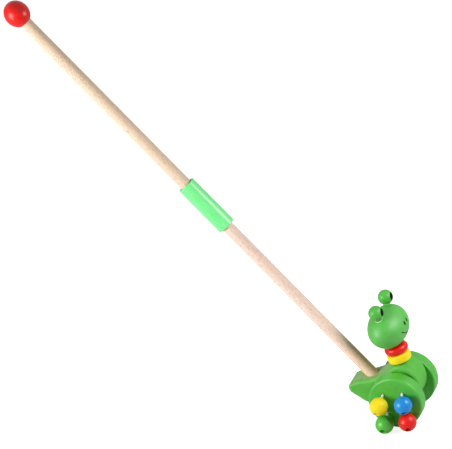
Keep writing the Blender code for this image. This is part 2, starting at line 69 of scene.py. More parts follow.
CREST_HEIGHT = 0.0326
CREST_SET_FORWARD = 0.0004
BELLY_DROP = 0.0153
BELLY_SET_BACK = 0.008
BODY_EDGE_ROUNDING = 0.0035
FLAT_START = 1.07
HANDLE_SHARE = 0.39
OUTLINE_STEPS = 28

# Back as a share of the tail's reach, up as a share of the crest's height, heading in degrees
TAIL_SHARES = [
    (0.766, -0.326, 150),
    (1.000, -0.006, 90),
    (0.870, 0.210, 32),
    (0.632, 0.349, 22),
    (0.326, 0.648, 41),
]


def corners(name):
    """Give the low and the high corner of a solid's box."""
    return [np.array(corner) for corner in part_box(name)]


def middle(name):
    """Give the centre of a solid's box."""
    low, high = corners(name)
    return (low + high) / 2


def gridded(name, points, closed_rows=False, capped=False):
    """Make a mesh of a grid of points, shape (rows, columns, 3), whose columns run once round.

    Cell (i, j) is the face between rows i and i + 1 and columns j and j + 1. Rows can close on
    themselves too, and capped puts one flat face on the first and on the last row. The UV map is
    the column's share of the way round and the row's share of the rows.
    """
    rows, columns = points.shape[:2]
    row = np.arange(rows if closed_rows else rows - 1)[:, None]
    column = np.arange(columns)[None, :]
    below, beside = (row + 1) % rows, (column + 1) % columns
    index = np.stack([row * columns + column, row * columns + beside,
                      below * columns + beside, below * columns + column], axis=-1)
    faces = index.reshape(-1, 4).tolist()
    if capped:
        faces += [list(range(columns))[::-1], list(range((rows - 1) * columns, rows * columns))]
    mesh = bpy.data.meshes.new(name)
    mesh.from_pydata(points.reshape(-1, 3), [], faces)
    around = np.stack([column, column + 1, column + 1, column], axis=-1) / columns
    down = np.stack([row, row, row + 1, row + 1], axis=-1) / rows
    shares = np.stack(np.broadcast_arrays(around, down), axis=-1).reshape(-1, 2)
    layer = np.zeros((len(mesh.loops), 2))
    layer[:len(shares)] = shares
    mesh.uv_layers.new(name="wrap").data.foreach_set("uv", layer.ravel())
    welded = bmesh.new()
    welded.from_mesh(mesh)
    bmesh.ops.remove_doubles(welded, verts=welded.verts, dist=1e-7)
    bmesh.ops.recalc_face_normals(welded, faces=welded.faces)
    welded.to_mesh(mesh)
    welded.free()
    piece = bpy.data.objects.new(name, mesh)
    bpy.context.scene.collection.objects.link(piece)
    return piece


def board_outline(steps):
    """Walk round the board's outline, forward over the crest, in (X, Z) from the axle.

    Between two knots A and D it is the cubic (1-t)^3 A + 3(1-t)^2 t B + 3(1-t) t^2 C + t^3 D,
    with B and C a share of the distance AD along the headings at A and D.
    """
    knots = [(CREST_SET_FORWARD, CREST_HEIGHT, 0), (CHEST_REACH, CHEST_HEIGHT, -90),
             (-BELLY_SET_BACK, -BELLY_DROP, 180)]
    knots += [(-back * TAIL_REACH, up * CREST_HEIGHT, heading)
              for back, up, heading in TAIL_SHARES]
    knots = np.array(knots)
    places, headings = knots[:, :2], np.radians(knots[:, 2])
    heading = np.stack([np.cos(headings), np.sin(headings)], axis=1)
    after, heading_after = np.roll(places, -1, axis=0), np.roll(heading, -1, axis=0)
    pull = np.linalg.norm(after - places, axis=1, keepdims=True) * HANDLE_SHARE
    t = (np.arange(steps) / steps)[None, :, None]
    a, b, c, d = (part[:, None, :] for part in (places, places + heading * pull,
                                               after - heading_after * pull, after))
    walk = (1 - t) ** 3 * a + 3 * (1 - t) ** 2 * t * b + 3 * (1 - t) * t ** 2 * c + t ** 3 * d
    return walk.reshape(-1, 2)


def rounded_board(name, outline, half, rounding):
    """Round a board over: each row is the outline drawn in by an amount and moved across.

    Across the edge the amount is r(1 - sin a) while the place across is r cos a from the flat.
    One more row lies on the flat, just past the rounding, to keep the flat's shading even.
    """
    ahead = np.roll(outline, -1, axis=0) - np.roll(outline, 1, axis=0)
    ahead /= np.linalg.norm(ahead, axis=1, keepdims=True)
    outward = np.stack([-ahead[:, 1], ahead[:, 0]], axis=1)
    turn = np.radians(np.linspace(0, 90, 11))
    drawn = np.concatenate([[FLAT_START], 1 - np.sin(turn)]) * rounding
    across_half = half - rounding + np.concatenate([[1], np.cos(turn)]) * rounding
    drawn = np.concatenate([drawn, drawn[::-1]])
    aside = np.concatenate([-across_half, across_half[::-1]])
    flat = outline[None, :, :] - outward[None, :, :] * drawn[:, None, None]
    points = np.stack([flat[..., 0], np.broadcast_to(aside[:, None], flat.shape[:2]),
                       flat[..., 1]], axis=-1)
    return gridded(name, points + axle_centre, capped=True)


axle_centre = middle("axle")
board_half = corners("body")[1][1]
board = rounded_board("body_board", board_outline(OUTLINE_STEPS), board_half, BODY_EDGE_ROUNDING)

# Stick: two beech dowels on one leaning line, plain sanded wood with an eased edge at the ends.
# The lower one is glued into the body and the upper one into the knob, so the sizes of the sleeve
# and the knob that say where the dowels end stand here too.
STICK_LENGTH = 0.4853
STICK_DIAMETER = 0.012
STICK_SOCKET_DEPTH = 0.020
DOWEL_EASING = 0.0008
KNOB_BORE_DEPTH = 0.015
KNOB_DIAMETER = 0.0247
KNOB_LENGTH = 0.0276
SLEEVE_CENTRE_UP = 0.2330
SLEEVE_WEB = 0.002
FIT_GAP = 0.0003
SHARP_ANGLE = math.radians(35)
# Painted light and shade: the lower dowel takes a paler, more neutral copy of the beech, standing in for the
# stronger light on the lower stick; near its foot the wood is made warmer, less green and blue, as painted shade
# that offsets the green light the body throws on it.
BEECH = (0.870, 0.675, 0.500)
BEECH_DARK = (0.720, 0.505, 0.335)
LIT_BEECH = (0.960, 0.740, 0.620)
LIT_BEECH_DARK = (0.780, 0.540, 0.430)
BANDS_A_METRE = 260.0
LINES_A_METRE = 1500.0
FLECKS_A_METRE = 2300.0
GRAIN_RISE = 0.00003
FOOT_SHADE_TINT = (1.04, 0.96, 0.84)
FOOT_SHADE_REACH = (0.018, 0.056)


def unit(vector):
    """Scale a vector to length one."""
    vector = np.asarray(vector, float)
    return vector / np.linalg.norm(vector)


def turned(name, profile, origin, way, around=128, closed=False):
    """Spin a profile of (out, up) points round a line through origin along way.

    A point is origin + up * way + out * (cos a * first + sin a * second), with a going once
    round and first and second square to way.
    """
    profile = np.asarray(profile, float)
    way = unit(way)
    first = unit(np.cross(way, (0, 0, 1) if abs(way[2]) < 0.9 else (1, 0, 0)))
    second = np.cross(way, first)
    turn = np.linspace(0, math.tau, around, endpoint=False)
    ring = np.cos(turn)[:, None] * first + np.sin(turn)[:, None] * second
    points = origin + profile[:, 1, None, None] * way + profile[:, 0, None, None] * ring
    return gridded(name, points, closed_rows=closed)


def settled(piece, finish, body, slot, *nodes):
    """Give a piece its material, smooth shading and body, and hide its nodes; slot is not used."""
    piece.data.name = piece.name
    piece.data.materials.clear()
    piece.data.materials.append(finish)
    piece.data.shade_smooth()
    piece.data.set_sharp_from_angle(angle=SHARP_ANGLE)
    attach(piece, body)
    if nodes:
        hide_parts(*nodes)
    return piece


def node(tree, kind, inputs=(), **settings):
    """Add a shader node; each of inputs names a socket and the value or the socket it takes."""
    made = tree.nodes.new("ShaderNode" + kind)
    for key, value in settings.items():
        setattr(made, key, value)
    for key, value in dict(inputs).items():
        if isinstance(value, bpy.types.NodeSocket):
            tree.links.new(value, made.inputs[key])
        else:
            made.inputs[key].default_value = value
    return made


def finish_named(name, **shader_inputs):
    """Start a material; returns it, its tree and its Principled shader."""
    made = bpy.data.materials.new(name)
    made.use_nodes = True
    shader = made.node_tree.nodes["Principled BSDF"]
    for key, value in shader_inputs.items():
        shader.inputs[key.replace("_", " ")].default_value = value
    return made, made.node_tree, shader


def speckle(tree, place, scale, detail=2.0, rough=0.5):
    """Give a cloud of noise, 0 to 1, at a number of features a metre."""
    made = node(tree, "TexNoise", {"Vector": place, "Scale": scale, "Detail": detail,
                                   "Roughness": rough})
    return made.outputs["Fac"]


def ranged(tree, value, low, high, to_low, to_high):
    """Map a value from one range onto another, held at its ends."""
    made = node(tree, "MapRange", {"Value": value, "From Min": low, "From Max": high,
                                   "To Min": to_low, "To Max": to_high})
    return made.outputs["Result"]


def shaded(tree, share, first, second, blend_type="MIX"):
    """Mix two colours by a share."""
    made = node(tree, "Mix", data_type="RGBA", blend_type=blend_type)
    tree.links.new(share, made.inputs[0])
    for socket, colour in ((made.inputs[6], first), (made.inputs[7], second)):
        if isinstance(colour, bpy.types.NodeSocket):
            tree.links.new(colour, socket)
        else:
            socket.default_value = (*colour, 1)
    return made.outputs[2]


def grain_place(tree, lean, stretch):
    """Turn object coordinates so that X runs along the grain, then squeeze them along it."""
    place = node(tree, "TexCoord").outputs["Object"]
    turned_to = node(tree, "Mapping", {"Vector": place, "Rotation": lean})
    squeezed = node(tree, "Mapping", {"Vector": turned_to.outputs[0], "Scale": (stretch, 1, 1)})
    return turned_to.outputs[0], squeezed.outputs[0]


def pressed_in(tree, shader, height, strength, rise, over=None):
    """Press a height into a shader's surface as a bump of a given rise, over another if given."""
    sockets = {"Height": height, "Strength": strength, "Distance": rise}
    if over:
        sockets["Normal"] = over
    bump = node(tree, "Bump", sockets).outputs[0]
    tree.links.new(bump, shader.inputs["Normal"])
    return bump


def sanded_beech(name, colour, dark, lean, foot_shaded=False):
    """Sanded beech: broad bands of tone along the grain, fine lines, and short dark ray flecks.

    Painted shade can make the wood warmer, less green and blue, near the stick's foot, offsetting the body's green
    bounce light.
    """
    made, tree, shader = finish_named(name, Specular_IOR_Level=0.25)
    along = grain_place(tree, lean, 0.03)[1]
    bands = speckle(tree, along, BANDS_A_METRE, 3.0)
    lines = speckle(tree, along, LINES_A_METRE, 2.0, 0.6)
    flecks = speckle(tree, grain_place(tree, lean, 0.16)[1], FLECKS_A_METRE, 0.0)
    tone = shaded(tree, ranged(tree, bands, 0.30, 0.72, 0.0, 0.55), colour, dark)
    tone = shaded(tree, ranged(tree, lines, 0.45, 0.75, 0.0, 0.30), tone, dark)
    tone = shaded(tree, ranged(tree, flecks, 0.66, 0.74, 0.0, 0.75), tone,
                  tuple(0.62 * part for part in dark))
    # painted shade: warmer, less green and blue, towards the stick's foot
    if foot_shaded:
        from_foot = node(tree, "VectorMath", {0: node(tree, "TexCoord").outputs["Object"],
                                              1: tuple(stick_foot)}, operation="DISTANCE")
        near = ranged(tree, from_foot.outputs["Value"], *FOOT_SHADE_REACH, 1.0, 0.0)
        tone = shaded(tree, near, tone, FOOT_SHADE_TINT, "MULTIPLY")
    tree.links.new(tone, shader.inputs["Base Color"])
    tree.links.new(ranged(tree, lines, 0.3, 0.7, 0.46, 0.60), shader.inputs["Roughness"])
    pressed_in(tree, shader, lines, 0.4, GRAIN_RISE)
    return made


def dowel(name, low, high):
    """Turn a dowel between two places on the stick's line, its end edges eased."""
    ease = DOWEL_EASING
    along = np.linspace(high - ease, low + ease, 40)
    profile = [(0, high), (stick_radius - ease, high)] + [(stick_radius, up) for up in along]
    profile += [(stick_radius - ease, low), (0, low)]
    return turned(name, profile, stick_foot, stick_way, 96)


hand_grip = {mount["name"]: mount for mount in frame["record"]["mounts"]}["hand_grip"]
stick_radius = STICK_DIAMETER / 2
stick_bore = stick_radius + FIT_GAP
knob_radius, knob_half = KNOB_DIAMETER / 2, KNOB_LENGTH / 2
knob_mouth = knob_half * math.sqrt(1 - (stick_bore / knob_radius) ** 2)
knob_centre = np.array(hand_grip["pos_m"])
stick_way = unit(hand_grip["axis"])
stick_foot = knob_centre - stick_way * (STICK_LENGTH + knob_mouth)
stick_lean = (0, math.pi / 2 + math.atan2(-stick_way[0], stick_way[2]), 0)
beech = sanded_beech("sanded_beech", BEECH, BEECH_DARK, stick_lean)
# painted light: the lower dowel's beech is a paler copy of the same wood
lit_beech = sanded_beech("lit_sanded_beech", LIT_BEECH, LIT_BEECH_DARK, stick_lean, True)
web = SLEEVE_WEB / 2 + FIT_GAP
settled(dowel("lower_dowel", FIT_GAP - STICK_SOCKET_DEPTH, SLEEVE_CENTRE_UP - web),
        lit_beech, "frog", "beech", "lower_stick")
settled(dowel("upper_dowel", SLEEVE_CENTRE_UP + web, STICK_LENGTH + KNOB_BORE_DEPTH - FIT_GAP),
        beech, "frog", "beech", "upper_stick")

# Sleeve: a moulded tube of slightly see-through green plastic with a web across its middle, into
# which the two dowels are pushed from either end.
SLEEVE_LENGTH = 0.0570
SLEEVE_DIAMETER = 0.0184
SLEEVE_EDGE_ROUNDING = 0.0007
SLEEVE_GREEN = (0.200, 0.920, 0.290)
STREAKS_A_METRE = 220.0
MOULD_GRAINS_A_METRE = 1500.0
MOULD_GRAIN_RISE = 0.00002


def fillet(out, up, radius, start, end, steps=8):
    """Give the points of an arc in a profile round (out, up): 0 degrees is outward, 90 is up."""
    turn = np.radians(np.linspace(start, end, steps + 1))
    return np.stack([out + radius * np.cos(turn), up + radius * np.sin(turn)], axis=1)


def moulded_plastic(name, colour):
    """Moulded plastic with a soft inner glow, faint flow streaks and a fine mould texture."""
    made, tree, shader = finish_named(name, Subsurface_Weight=0.35, Subsurface_Scale=0.002,
                                      Subsurface_Radius=(0.4, 1.0, 0.5), Coat_Weight=0.6,
                                      Coat_Roughness=0.32)
    place, along = grain_place(tree, stick_lean, 0.15)
    streaks = speckle(tree, along, STREAKS_A_METRE, 2.0)
    tone = shaded(tree, ranged(tree, streaks, 0.3, 0.7, 0.0, 1.0),
                  tuple(0.90 * part for part in colour), colour)
    tree.links.new(tone, shader.inputs["Base Color"])
    tree.links.new(ranged(tree, streaks, 0.3, 0.7, 0.38, 0.46), shader.inputs["Roughness"])
    pressed_in(tree, shader, speckle(tree, place, MOULD_GRAINS_A_METRE, 1.0), 0.2,
               MOULD_GRAIN_RISE)
    return made


half, web_half = SLEEVE_LENGTH / 2, SLEEVE_WEB / 2
edge, radius = SLEEVE_EDGE_ROUNDING, SLEEVE_DIAMETER / 2
sleeve_profile = np.concatenate([
    [(0, web_half), (stick_bore, web_half), (stick_bore, half - edge / 2),
     (stick_bore + edge / 2, half)],
    fillet(radius - edge, half - edge, edge, 90, 0),
    fillet(radius - edge, edge - half, edge, 0, -90),
    [(stick_bore + edge / 2, -half), (stick_bore, edge / 2 - half), (stick_bore, -web_half),
     (0, -web_half)],
])
sleeve_centre = stick_foot + stick_way * SLEEVE_CENTRE_UP
settled(turned("stick_tube", sleeve_profile, sleeve_centre, stick_way, 128),
        moulded_plastic("green_plastic", SLEEVE_GREEN), "frog", "sleeve_plastic", "stick_sleeve")

# Knob: an egg turned from beech, bored blind for the upper dowel and dipped in gloss red, which
# the child holds.
RED = (0.790, 0.006, 0.003)
RED_GLINT = (1.0, 0.38, 0.36)
BORE_EASING = 0.0004
CLOUDS_A_METRE = 90.0
PATCHES_A_METRE = 420.0
RIPPLES_A_METRE = 900.0
PEBBLES_A_METRE = 1600.0
RIPPLE_RISE = 0.00003
PEBBLE_RISE = 0.00002


def painted(name, colour, roughness, gloss, lighter_share=None, lighter_tone=None, glint=(1, 1, 1)):
    """Paint over sanded wood: clouds of slightly deeper and paler colour, a ripple of the grain
    underneath, and a fine pebbling of the paint itself.

    A share function, when given, mixes a second, paler tone into the colour by place; glint tints
    its shine.
    """
    made, tree, shader = finish_named(name, Specular_IOR_Level=gloss, Specular_Tint=(*glint, 1))
    place, along = grain_place(tree, (0, 0, 0), 0.06)
    clouds = speckle(tree, place, CLOUDS_A_METRE, 3.0)
    deep = tuple(0.88 * part for part in colour)
    pale = tuple(min(1.06 * part + 0.002, 1) for part in colour)
    shade = shaded(tree, ranged(tree, clouds, 0.30, 0.70, 0.0, 1.0), deep, pale)
    if lighter_share:
        patches = ranged(tree, speckle(tree, place, PATCHES_A_METRE), 0.35, 0.6, 0.6, 1.0)
        patchy = node(tree, "Math", {0: lighter_share(tree, place), 1: patches}, operation="MULTIPLY")
        shade = shaded(tree, patchy.outputs[0], shade, lighter_tone)
    tree.links.new(shade, shader.inputs["Base Color"])
    tree.links.new(ranged(tree, clouds, 0.3, 0.7, roughness - 0.04, roughness + 0.05),
                   shader.inputs["Roughness"])
    ripple = pressed_in(tree, shader, speckle(tree, along, RIPPLES_A_METRE), 0.35, RIPPLE_RISE)
    pressed_in(tree, shader, speckle(tree, place, PEBBLES_A_METRE, 1.0), 0.25, PEBBLE_RISE,
               over=ripple)
    return made


mouth_turn = math.degrees(math.asin(knob_mouth / knob_half))
knob_end = KNOB_BORE_DEPTH - knob_mouth
knob_turn = np.radians(np.linspace(90, -mouth_turn, 90))
knob_profile = np.concatenate([
    np.stack([knob_radius * np.cos(knob_turn), knob_half * np.sin(knob_turn)], axis=1),
    [(stick_bore, -knob_mouth + BORE_EASING), (stick_bore, knob_end), (0, knob_end)],
])
gloss_red = painted("gloss_red_paint", RED, 0.34, 0.85, glint=RED_GLINT)
settled(turned("grip_knob", knob_profile, knob_centre, stick_way, 128), gloss_red, "frog",
        "red_paint", "knob")

# Body, bored and painted: the dowel, the neck peg and the axle sit in real holes. The satin green
# turns paler, towards a pale beige, round the stick's foot on the board's upper edge.
NECK_PEG_DIAMETER = 0.008
NECK_PEG_IN_BODY = 0.014
RING_THICKNESS = 0.0087
BODY_GREEN = (0.085, 0.460, 0.038)
# A paler tone mixed into the green on the board's upper edge round the stick's foot: the tone, its greatest share,
# its reach from the foot and its half width across.
TOP_PALE_TONE = (0.950, 0.760, 0.640)
TOP_PALE_SHARE = 0.33
TOP_PALE_REACH = (0.010, 0.036)
TOP_PALE_HALF_WIDTH = (0.0070, 0.0138)


def bored(piece, tools):
    """Cut the tools out of a piece and keep the result as the piece's own mesh."""
    for tool in tools:
        cut = piece.modifiers.new(tool.name, "BOOLEAN")
        cut.operation, cut.solver, cut.object = "DIFFERENCE", "EXACT", tool
    whole = piece.evaluated_get(bpy.context.evaluated_depsgraph_get())
    mesh = bpy.data.meshes.new_from_object(whole)
    piece.modifiers.clear()
    piece.data = mesh
    for tool in tools:
        bpy.data.objects.remove(tool)
    return piece


def drill(name, radius, low, high, origin, way):
    """Make a round drill between two places on a line."""
    return turned(name, [(0, high), (radius, high), (radius, low), (0, low)], origin, way, 64)


def pale_top_share(tree, place):
    """Give the share of the paler tone round the stick's foot on the board's upper edge, and not on its sides."""
    foot = node(tree, "VectorMath", {0: place, 1: tuple(stick_foot)}, operation="SUBTRACT")
    axes = node(tree, "SeparateXYZ", {"Vector": foot.outputs[0]})
    flat = node(tree, "CombineXYZ", {"X": axes.outputs["X"], "Z": axes.outputs["Z"]})
    away = node(tree, "VectorMath", {0: flat.outputs[0]}, operation="LENGTH").outputs["Value"]
    aside = node(tree, "Math", {0: axes.outputs["Y"]}, operation="ABSOLUTE").outputs[0]
    near = ranged(tree, away, *TOP_PALE_REACH, TOP_PALE_SHARE, 0.0)
    upper = ranged(tree, aside, *TOP_PALE_HALF_WIDTH, 1.0, 0.0)
    return node(tree, "Math", {0: near, 1: upper}, operation="MULTIPLY").outputs[0]


across = np.array((0.0, 1.0, 0.0))
joints = {joint["name"]: joint for joint in frame["joints"]}
neck_way = unit(joints["red_ring_turn"]["axis"])
neck_bore = NECK_PEG_DIAMETER / 2 + FIT_GAP
neck_foot = (np.array(joints["yellow_ring_turn"]["pos_m"])
             - neck_way * (FIT_GAP + RING_THICKNESS / 2))
axle_low, axle_high = corners("axle")
axle_bore = (axle_high[2] - axle_low[2]) / 2 + FIT_GAP
board = bored(board, [
    drill("stick_socket", stick_bore, -STICK_SOCKET_DEPTH, STICK_SOCKET_DEPTH, stick_foot,
          stick_way),
    drill("neck_socket", neck_bore, -NECK_PEG_IN_BODY, NECK_PEG_IN_BODY, neck_foot, neck_way),
    drill("axle_bore", axle_bore, -board_half * 2, board_half * 2, axle_centre, across),
])
body_green = painted("body_green_paint", BODY_GREEN, 0.58, 0.50, pale_top_share, TOP_PALE_TONE)
settled(board, body_green, "frog", "green_paint", "body")

# Pegs and axle: plain dowels that stay inside the toy. Their solids are right as they are and
# only take the sanded wood.
upright_beech = sanded_beech("peg_beech", BEECH, BEECH_DARK, (0, math.pi / 2, 0))
axle_beech = sanded_beech("axle_beech", BEECH, BEECH_DARK, (0, 0, -math.pi / 2))
for peg, wood in (("axle", axle_beech), ("neck_peg", upright_beech),
                  ("right_eye_peg", upright_beech), ("left_eye_peg", upright_beech)):
    for material_slot in frame["nodes"][peg].material_slots:
        material_slot.material = wood

# Neck rings: a yellow washer and a rounder red one, turned, painted gloss and left loose on the
# peg so that they can be spun.
YELLOW = (0.940, 0.725, 0.012)
YELLOW_GLINT = (1.0, 0.90, 0.45)
RING_MOUTH_EASING = 0.0006

gloss_yellow = painted("gloss_yellow_paint", YELLOW, 0.46, 0.42, glint=YELLOW_GLINT)

# Colour, finish, diameter and rounding of the outer edges
RINGS = [
    ("yellow", gloss_yellow, 0.0232, 0.0020),
    ("red", gloss_red, 0.0238, 0.0041),
]
for colour, ring_finish, diameter, rounding in RINGS:
    top, inner, ease = RING_THICKNESS / 2, diameter / 2 - rounding, RING_MOUTH_EASING
    ring_profile = np.concatenate([
        fillet(neck_bore + ease, top - ease, ease, 180, 90, 4),
        fillet(inner, top - rounding, rounding, 90, 0, 20),
        fillet(inner, rounding - top, rounding, 0, -90, 20),
        fillet(neck_bore + ease, ease - top, ease, -90, -180, 4),
    ])
    ring_centre = np.array(joints[colour + "_ring_turn"]["pos_m"])
    ring = turned(colour + "_ring_paint", ring_profile, ring_centre, neck_way, 128, closed=True)
    settled(ring, ring_finish, colour + "_ring", colour + "_paint", colour + "_neck_ring")

# Head: an egg turned on its long cross axis from one block, milled flat in two places for the
# eyes, bored from below for the neck peg, and painted a satin green of its own. A pale line runs
# along the rim of the right eye's seat.
HEAD_DIAMETER = 0.0394
HEAD_WIDTH = 0.0558
HEAD_ROWS = 272
HEAD_COLUMNS = 320
NECK_PEG_IN_HEAD = 0.014
EYE_SEAT_SHARE = 0.48
EYE_SEAT_CUT = 0.00050
EYE_SEAT_ROUNDING = 0.00005
HEAD_GREEN = (0.078, 0.455, 0.050)
# A pale line along the rim of the right eye's seat: its tone and its width.
RIM_PALE_TONE = (0.850, 0.920, 0.760)
RIM_PALE_WIDTH = 0.00012
SIDES = ((-1, "right"), (1, "left"))


def eye_seat(side):
    """Give the point on the head's skin over one eye's seat, and the way out of the head."""
    out = EYE_SEAT_SHARE * head_half
    point = head_centre + neck_way * seat_rise + across * side * out
    way = neck_way * (seat_rise / head_radius ** 2) + across * side * (out / head_half ** 2)
    return point, unit(way)


def milled_head(name):
    """Turn the egg, then press its skin down to each seat.

    A point's height h over a seat's plane becomes (h - sqrt(h^2 + e^2)) / 2, which follows the
    skin below the plane, lies flat on it above, and rounds the rim by about e.
    """
    pole = np.radians(np.linspace(90, -90, HEAD_ROWS))[:, None]
    turn = np.linspace(0, math.tau, HEAD_COLUMNS, endpoint=False)[None, :]
    points = (head_centre + head_half * np.sin(pole)[..., None] * across
              + head_radius * (np.cos(pole) * np.cos(turn))[..., None] * neck_way
              + head_radius * (np.cos(pole) * np.sin(turn))[..., None] * head_front)
    for side, label in SIDES:
        point, way = eye_seat(side)
        height = (points - (point - way * EYE_SEAT_CUT)) @ way
        pressed = (height - np.sqrt(height ** 2 + EYE_SEAT_ROUNDING ** 2)) / 2
        points = points + (pressed - height)[..., None] * way
    return gridded(name, points)


def pale_rim_share(tree, place):
    """Give the share of the pale line along the rim of the right eye's seat, where the height h over
    the seat's plane and the depth d beneath the egg's skin are both nothing: it falls to 0 where h^2 + d^2 = w^2."""
    point, way = eye_seat(-1)
    over = node(tree, "VectorMath", {0: place, 1: tuple(point - way * EYE_SEAT_CUT)},
                operation="SUBTRACT")
    height = node(tree, "VectorMath", {0: over.outputs[0], 1: tuple(way)},
                  operation="DOT_PRODUCT").outputs["Value"]
    spoke = node(tree, "VectorMath", {0: place, 1: tuple(head_centre)}, operation="SUBTRACT")
    egg_size = (1 / head_radius, 1 / head_half, 1 / head_radius)
    scaled = node(tree, "VectorMath", {0: spoke.outputs[0], 1: egg_size}, operation="MULTIPLY")
    reach = node(tree, "VectorMath", {0: scaled.outputs[0]}, operation="LENGTH").outputs["Value"]
    depth = node(tree, "Math", {0: reach, 1: -head_radius, 2: head_radius},
                 operation="MULTIPLY_ADD").outputs[0]
    both = node(tree, "CombineXYZ", {"X": height, "Y": depth})
    away = node(tree, "VectorMath", {0: both.outputs[0]}, operation="LENGTH").outputs["Value"]
    return ranged(tree, away, 0.3 * RIM_PALE_WIDTH, RIM_PALE_WIDTH, 1.0, 0.0)


head_radius, head_half = HEAD_DIAMETER / 2, HEAD_WIDTH / 2
ring_top = np.array(joints["red_ring_turn"]["pos_m"]) + neck_way * RING_THICKNESS / 2
head_centre = ring_top + neck_way * (FIT_GAP + head_radius)
head_front = np.cross(across, neck_way)
seat_rise = head_radius * math.sqrt(1 - EYE_SEAT_SHARE ** 2)
head_bore = drill("head_bore", neck_bore, -head_radius, NECK_PEG_IN_HEAD,
                  head_centre - neck_way * head_radius, neck_way)
head = bored(milled_head("head_egg"), [head_bore])
head_green = painted("head_green_paint", HEAD_GREEN, 0.50, 0.75, pale_rim_share, RIM_PALE_TONE)
settled(head, head_green, "frog", "green_paint", "head")

# Eyes: two small painted balls pegged on the milled seats, each bored underneath for its peg. The
# paint runs into the seam under each ball and closes it with a small hollow collar.
EYE_DIAMETER = 0.0149
EYE_SEAT_DEPTH = 0.0006
EYE_PEG_DIAMETER = 0.004
EYE_PEG_IN_EYE = 0.007
SEAM_RADIUS = 0.0038
SEAM_NECK_RADIUS = 0.0033
SEAM_IN_BALL = 0.0001
SEAM_IN_SEAT = 0.0002

eye_green = painted("eye_green_paint", HEAD_GREEN, 0.44, 0.50)
eye_radius = EYE_DIAMETER / 2
eye_hole = EYE_PEG_DIAMETER / 2 + FIT_GAP
eye_mouth = math.sqrt(eye_radius ** 2 - eye_hole ** 2)
eye_bore_end = EYE_PEG_IN_EYE - eye_mouth
ball_profile = np.concatenate([
    fillet(0, 0, eye_radius, 90, -math.degrees(math.asin(eye_mouth / eye_radius)), 80),
    [(eye_hole, eye_bore_end), (0, eye_bore_end)],
])
seam_foot = EYE_SEAT_DEPTH - EYE_SEAT_CUT - FIT_GAP - eye_radius
seam_neck = -math.sqrt(eye_radius ** 2 - SEAM_NECK_RADIUS ** 2) + SEAM_IN_BALL
hollow = np.radians(np.linspace(90, 0, 9))
seam_profile = np.concatenate([
    np.stack([SEAM_RADIUS - (SEAM_RADIUS - SEAM_NECK_RADIUS) * np.sin(hollow),
              seam_neck - (seam_neck - seam_foot) * np.cos(hollow)], axis=1),
    [(eye_hole, seam_foot - SEAM_IN_SEAT), (eye_hole, seam_neck)],
])
eye_centres = {}
for side, label in SIDES:
    seat_point, seat_way = eye_seat(side)
    centre = seat_point + seat_way * (eye_radius + FIT_GAP - EYE_SEAT_DEPTH)
    eye_centres[label] = centre
    settled(turned(label + "_eye_ball", ball_profile, centre, seat_way, 128), eye_green, "frog",
            "green_paint", label + "_eye")
    settled(turned(label + "_eye_seam", seam_profile, centre, seat_way, 64, closed=True),
            eye_green, "frog", "green_paint")

# Face: pupils, nostrils and a thin smile, brushed on in dull black paint that stands a little
# proud of the green.
PUPIL_RADIUS = 0.0042
PUPIL_UP = math.radians(17)
PUPIL_ASIDE = math.radians(6)
NOSTRIL_APART = 0.0064
NOSTRIL_UP = 0.0088
NOSTRIL_HALF_HEIGHT = 0.0020
NOSTRIL_HALF_WIDTH = 0.0014
MOUTH_HALF_WIDTH = 0.0128
MOUTH_LOW = 0.0019
MOUTH_CORNER_RISE = 0.0058
MOUTH_CURVE_POWER = 1.7
MOUTH_TAPER_POWER = 8
MOUTH_HALF_THICKNESS = 0.0005
PAINT_PROUD = 0.00012
BLACK = (0.003, 0.004, 0.003)
BRUSH_RIPPLES_A_METRE = 1200.0
BRUSH_RIPPLE_RISE = 0.00002


def brushed_black(name):
    """Black paint with a faint brushed ripple."""
    made, tree, shader = finish_named(name, Specular_IOR_Level=0.04)
    place = node(tree, "TexCoord").outputs["Object"]
    ripple = speckle(tree, place, BRUSH_RIPPLES_A_METRE, 2.0)
    tree.links.new(shaded(tree, ripple, BLACK, tuple(2 * part for part in BLACK)),
                   shader.inputs["Base Color"])
    tree.links.new(ranged(tree, ripple, 0.3, 0.7, 0.20, 0.32), shader.inputs["Roughness"])
    pressed_in(tree, shader, ripple, 0.3, BRUSH_RIPPLE_RISE)
    return made


def on_head(sideways, upward):
    """Give the skin point of the egg at a place across and up in front of it, and its normal."""
    rest = 1 - (sideways / head_half) ** 2 - (upward / head_radius) ** 2
    forward = head_radius * np.sqrt(rest)
    point = np.stack([forward, sideways, upward], axis=-1) + head_centre
    normal = np.stack([forward / head_radius ** 2, sideways / head_half ** 2,
                       upward / head_radius ** 2], axis=-1)
    return point, normal / np.linalg.norm(normal, axis=-1, keepdims=True)


def on_eye(label):
    """Give a function for the skin of one ball, as seen along the way its pupil looks."""
    level = np.array((math.cos(PUPIL_ASIDE), math.sin(PUPIL_ASIDE), 0))
    beside = np.array((-math.sin(PUPIL_ASIDE), math.cos(PUPIL_ASIDE), 0))
    look = level * math.cos(PUPIL_UP) + (0, 0, math.sin(PUPIL_UP))
    above = -level * math.sin(PUPIL_UP) + (0, 0, math.cos(PUPIL_UP))

    def skin(sideways, upward):
        """Give the point on the ball at a place across and up, and its normal."""
        forward = np.sqrt(eye_radius ** 2 - sideways ** 2 - upward ** 2)
        spoke = (forward[..., None] * look + sideways[..., None] * beside
                 + upward[..., None] * above)
        return eye_centres[label] + spoke, spoke / eye_radius
    return skin


